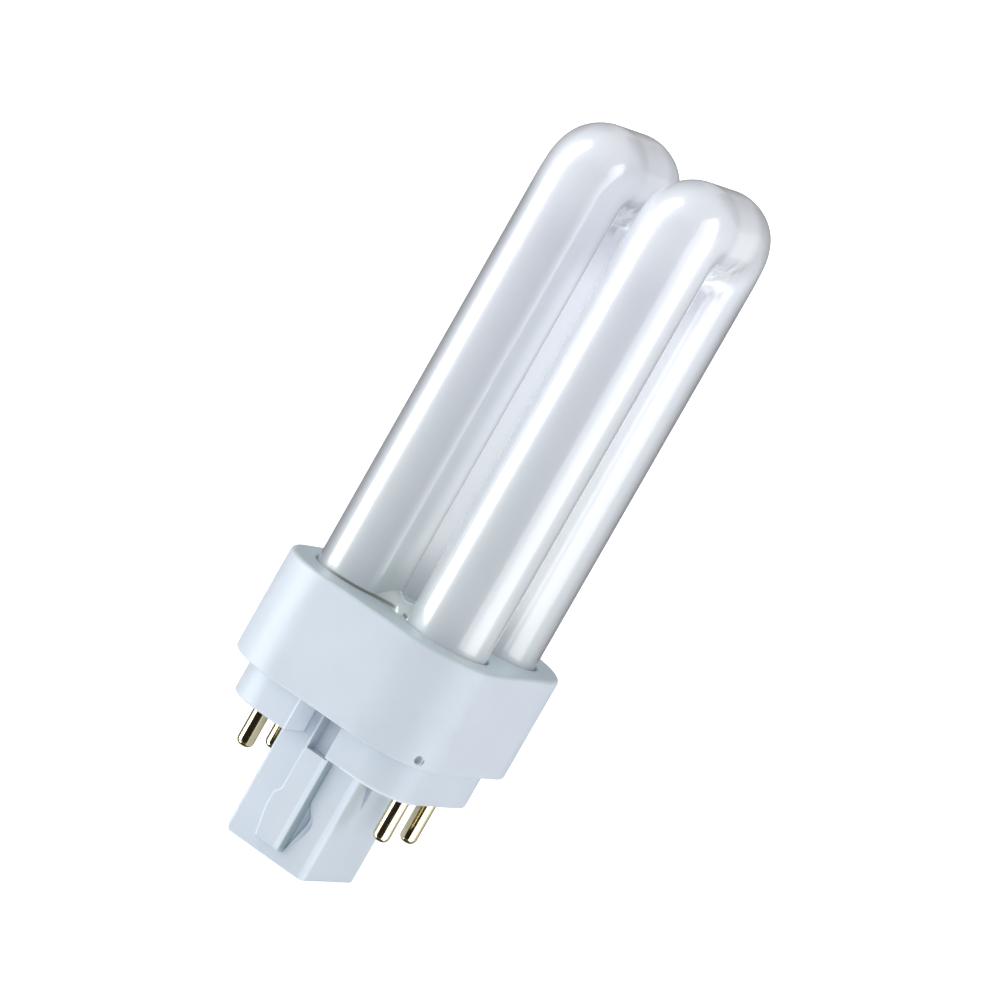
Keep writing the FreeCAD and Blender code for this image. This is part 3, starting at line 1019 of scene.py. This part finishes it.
def towards(azimuth, elevation=0.0):
    """Direction from the lamp, turned in degrees from -Y towards +X."""
    a, e = math.radians(azimuth), math.radians(elevation)
    return Vector((math.sin(a) * math.cos(e), -math.cos(a) * math.cos(e), math.sin(e)))


def facing_matrix(place, aim):
    """Stands at place with its -Z towards aim."""
    back = (place - aim).normalized()
    right = Vector((0, 0, 1)).cross(back).normalized()
    up = back.cross(right)
    turn = Matrix((right, up, back)).transposed().to_4x4()
    return Matrix.Translation(place) @ turn


def place_facing(azimuth, elevation, distance):
    """Stands away from the lamp in a direction, and faces it."""
    return facing_matrix(LIGHT_AIM + towards(azimuth, elevation) * distance, LIGHT_AIM)


def add_light(name, azimuth, elevation, distance, width, height, brightness):
    """A soft flat light whose strength is its own brightness, whatever its size."""
    data = bpy.data.lights.new(name, "AREA")
    data.shape = "RECTANGLE"
    data.size = width
    data.size_y = height
    data.energy = brightness * math.pi * width * height
    light = bpy.data.objects.new(name, data)
    light.matrix_world = place_facing(azimuth, elevation, distance)
    light.visible_camera = False
    light.visible_glossy = False
    bpy.context.scene.collection.objects.link(light)


def flat_sheet(name, azimuth, elevation, distance, width, height):
    """A flat rectangle that faces the lamp, with a UV map across it."""
    bm = bmesh.new()
    bmesh.ops.create_grid(bm, x_segments=1, y_segments=1, size=0.5, calc_uvs=True)
    uv = bm.loops.layers.uv.get("UVMap") or bm.loops.layers.uv.new("UVMap")
    for face in bm.faces:
        for corner in face.loops:
            corner[uv].uv = (corner.vert.co.x + 0.5, corner.vert.co.y + 0.5)
    bmesh.ops.scale(bm, vec=(width, height, 1), verts=bm.verts[:])
    bmesh.ops.transform(bm, matrix=place_facing(azimuth, elevation, distance), verts=bm.verts[:])
    return mesh_object(name, bm)


def glow_finish(name, strength=1.0):
    """A material that only glows, with its glow node."""
    f = Finish(name)
    f.tree.nodes.remove(f.shader)
    glow = f.add("ShaderNodeEmission")
    glow.inputs["Color"].default_value = WHITE
    glow.inputs["Strength"].default_value = strength
    return f, glow


def show_in_gloss(thing, material):
    """The thing takes its material and is seen in the gloss only."""
    thing.data.materials.append(material)
    thing.visible_camera = False
    thing.visible_diffuse = False
    thing.visible_transmission = False
    thing.visible_shadow = False


def add_card(name, azimuth, elevation, distance, width, height, brightness, edge):
    """A bright or dark card that is seen in the gloss only, with its sides faded out."""
    card = flat_sheet(name, azimuth, elevation, distance, width, height)
    f, glow = glow_finish(name, brightness)
    place = f.add("ShaderNodeUVMap", uv_map="UVMap")
    across = f.add("ShaderNodeSeparateXYZ")
    f.link(place.outputs["UV"], across.inputs["Vector"])
    rise = f.span(across.outputs["X"], 0.0, edge)
    fall = f.span(across.outputs["X"], 1.0 - edge, 1.0, 1.0, 0.0)
    clear = f.add("ShaderNodeBsdfTransparent")
    mixed = f.add("ShaderNodeMixShader")
    f.link(f.product(rise, fall), mixed.inputs[0])
    f.link(clear.outputs["BSDF"], mixed.inputs[1])
    f.link(glow.outputs["Emission"], mixed.inputs[2])
    f.link(mixed.outputs["Shader"], f.output.inputs["Surface"])
    show_in_gloss(card, f.material)


def add_dome(name, way, low, high):
    """A smooth cap over (way 1) or under (way -1) the lamp that is seen in the gloss only."""
    bm = bmesh.new()
    bmesh.ops.create_uvsphere(bm, u_segments=64, v_segments=32, radius=DOME_RADIUS)
    rest = [v for v in bm.verts if v.co.z * way < DOME_RADIUS * DOME_START]
    bmesh.ops.delete(bm, geom=rest, context="VERTS")
    dome = mesh_object(name, bm)
    f, glow = glow_finish(name)
    level = f.span(f.height(), DOME_RADIUS * DOME_FADE * way, DOME_RADIUS * way, low, high, kind="LINEAR")
    f.link(level, glow.inputs["Strength"])
    f.link(glow.outputs["Emission"], f.output.inputs["Surface"])
    show_in_gloss(dome, f.material)


def add_flag(name, azimuth, elevation, distance, width, height):
    """A black flag that keeps soft light away and isn't seen."""
    flag = flat_sheet(name, azimuth, elevation, distance, width, height)
    f = Finish(name)
    f.set(Base_Color=(0.02, 0.02, 0.02, 1.0), Roughness=1.0)
    flag.data.materials.append(f.material)
    flag.visible_camera = False
    flag.visible_glossy = False
    flag.visible_transmission = False


def plain_rays(tree):
    """One for the rays that see the plain white surround: camera, glossy and transmission rays."""
    rays = tree.nodes.new("ShaderNodeLightPath")
    seen = rays.outputs["Is Camera Ray"]
    for name in ("Is Glossy Ray", "Is Transmission Ray"):
        larger = tree.nodes.new("ShaderNodeMath")
        larger.operation = "MAXIMUM"
        tree.links.new(seen, larger.inputs[0])
        tree.links.new(rays.outputs[name], larger.inputs[1])
        seen = larger.outputs[0]
    return seen


def add_floor(s):
    """A pale floor that keeps the lamp's shadow and otherwise looks white."""
    bm = bmesh.new()
    bmesh.ops.create_grid(bm, x_segments=1, y_segments=1, size=30.0)
    floor = mesh_object("floor", bm)
    floor.visible_glossy = False
    f, glow = glow_finish("floor")
    f.link(f.span(plain_rays(f.tree), 0.0, 1.0, *FLOOR_GLOW, "LINEAR"), glow.inputs["Strength"])
    matt = f.add("ShaderNodeBsdfDiffuse")
    matt.inputs["Color"].default_value = (*s.floor, 1)
    both = f.add("ShaderNodeAddShader")
    f.link(matt.outputs["BSDF"], both.inputs[0])
    f.link(glow.outputs["Emission"], both.inputs[1])
    f.link(both.outputs["Shader"], f.output.inputs["Surface"])
    floor.data.materials.append(f.material)


def add_surround(scene, s):
    """Light from all sides, weaker from above, that looks plain white itself."""
    world = bpy.data.worlds.new("surround")
    scene.world = world
    world.use_nodes = True
    tree = world.node_tree
    tree.nodes.clear()
    light = tree.nodes.new("ShaderNodeBackground")
    light.inputs["Color"].default_value = SURROUND_COLOUR
    place = tree.nodes.new("ShaderNodeTexCoord")
    mapping = tree.nodes.new("ShaderNodeMapping")
    tree.links.new(place.outputs["Generated"], mapping.inputs["Vector"])
    upward = tree.nodes.new("ShaderNodeSeparateXYZ")
    tree.links.new(mapping.outputs["Vector"], upward.inputs["Vector"])
    fade = tree.nodes.new("ShaderNodeMapRange")
    fade.interpolation_type = "SMOOTHSTEP"
    fade.inputs["From Min"].default_value = 0.25
    fade.inputs["From Max"].default_value = 0.85
    fade.inputs["To Min"].default_value = s.surround
    fade.inputs["To Max"].default_value = s.surround * OVERHEAD
    tree.links.new(upward.outputs["Z"], fade.inputs["Value"])
    tree.links.new(fade.outputs["Result"], light.inputs["Strength"])
    white = tree.nodes.new("ShaderNodeBackground")
    white.inputs["Color"].default_value = WHITE
    white.inputs["Strength"].default_value = 1.0
    choose = tree.nodes.new("ShaderNodeMixShader")
    tree.links.new(plain_rays(tree), choose.inputs[0])
    tree.links.new(light.outputs[0], choose.inputs[1])
    tree.links.new(white.outputs[0], choose.inputs[2])
    out = tree.nodes.new("ShaderNodeOutputWorld")
    tree.links.new(choose.outputs[0], out.inputs["Surface"])


def add_camera(scene, s):
    data = bpy.data.cameras.new("camera")
    data.sensor_width = 36.0
    data.lens = s.lens
    data.clip_start = 0.01
    camera = bpy.data.objects.new("camera", data)
    scene.collection.objects.link(camera)
    place = CAMERA_AIM + towards(math.degrees(s.azimuth), math.degrees(s.elevation)) * s.distance
    camera.matrix_world = facing_matrix(place, CAMERA_AIM) @ Matrix.Rotation(s.roll, 4, "Z")
    scene.camera = camera


class LAMP_OT_studio(bpy.types.Operator):
    """Set the floor, the soft light, the white surround and the camera"""

    bl_idname = "lamp.studio"
    bl_label = "Studio"

    def execute(self, context):
        s = context.scene.lamp_studio
        add_floor(s)
        add_surround(context.scene, s)
        add_light("left_soft_light", -78, 12, 0.9, 0.7, 0.9, s.left_soft)
        for light in LIGHTS:
            add_light(*light)
        add_card("left_strip", -57, 0, 0.7, 0.48, 2.6, s.left_strip, 0.12)
        add_card("right_glow", 85, 0, 0.06, 0.055, 0.22, s.right_soft, 0.28)
        for card in CARDS:
            add_card(*card)
        add_dome("upper_dome", 1, 0.22, 0.86)
        add_dome("lower_dome", -1, 0.4, 0.05)
        add_flag("front_flag", 52, 6, 0.65, 0.70, 1.1)
        add_camera(context.scene, s)
        context.scene.view_settings.view_transform = "Standard"
        return {"FINISHED"}


STEPS = (
    LAMP_OT_studio,
    LAMP_OT_glass_tubes,
    LAMP_OT_collar,
    LAMP_OT_cap_base,
    LAMP_OT_contact_pins,
    LAMP_OT_inside,
)


class LAMP_PT_panel(bpy.types.Panel):
    """The lamp's pieces, in the order in which they are built"""

    bl_idname = "LAMP_PT_panel"
    bl_label = "Plug-in lamp"
    bl_space_type = "VIEW_3D"
    bl_region_type = "UI"
    bl_category = "Lamp"

    def draw(self, context):
        column = self.layout.column()
        for step in STEPS:
            column.operator(step.bl_idname)


GROUPS = (
    ("lamp_tubes", TubeSettings),
    ("lamp_cap", CapSettings),
    ("lamp_pins", PinSettings),
    ("lamp_studio", StudioSettings),
)


def register():
    for name, group in GROUPS:
        bpy.utils.register_class(group)
        setattr(bpy.types.Scene, name, PointerProperty(type=group))
    for step in STEPS:
        bpy.utils.register_class(step)
    bpy.utils.register_class(LAMP_PT_panel)


def unregister():
    bpy.utils.unregister_class(LAMP_PT_panel)
    for step in reversed(STEPS):
        bpy.utils.unregister_class(step)
    for name, group in reversed(GROUPS):
        delattr(bpy.types.Scene, name)
        bpy.utils.unregister_class(group)


def main():
    register()
    bpy.ops.lamp.studio()
    bpy.ops.lamp.glass_tubes()
    bpy.ops.lamp.collar()
    bpy.ops.lamp.cap_base()
    bpy.ops.lamp.contact_pins()
    bpy.ops.lamp.inside()
    bpy.context.view_layer.update()


if __name__ == "__main__":
    main()
